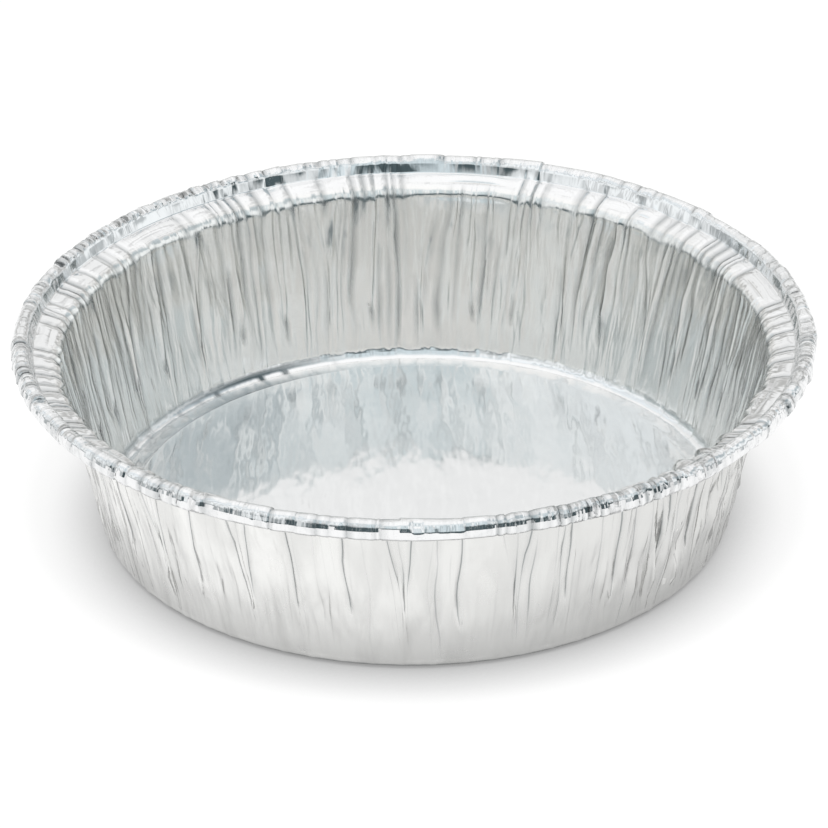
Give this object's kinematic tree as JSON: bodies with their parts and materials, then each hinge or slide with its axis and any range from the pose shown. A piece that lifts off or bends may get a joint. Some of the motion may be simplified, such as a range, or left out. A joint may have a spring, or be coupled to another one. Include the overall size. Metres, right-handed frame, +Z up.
{
  "type": "aluminium weighing dish",
  "caption": "Round shallow dish pressed from one disc of aluminium foil, with gathered walls, a flat ledge and an outward curled rim, for weighing and drying samples.",
  "frame": {"origin": "On the table, at the centre of the flat foot ring", "axes": "+Z up along the dish's round axis, -Y towards the front, +X to the right seen from the front"},
  "size_m": [0.105, 0.105, 0.0271],
  "materials": {
    "foil": "bright rolled foil, satin on the floor and gathered in fine folds on the wall and rim"
  },
  "bodies": {
    "root": {"dish": "foil"}
  },
  "joints": []
}
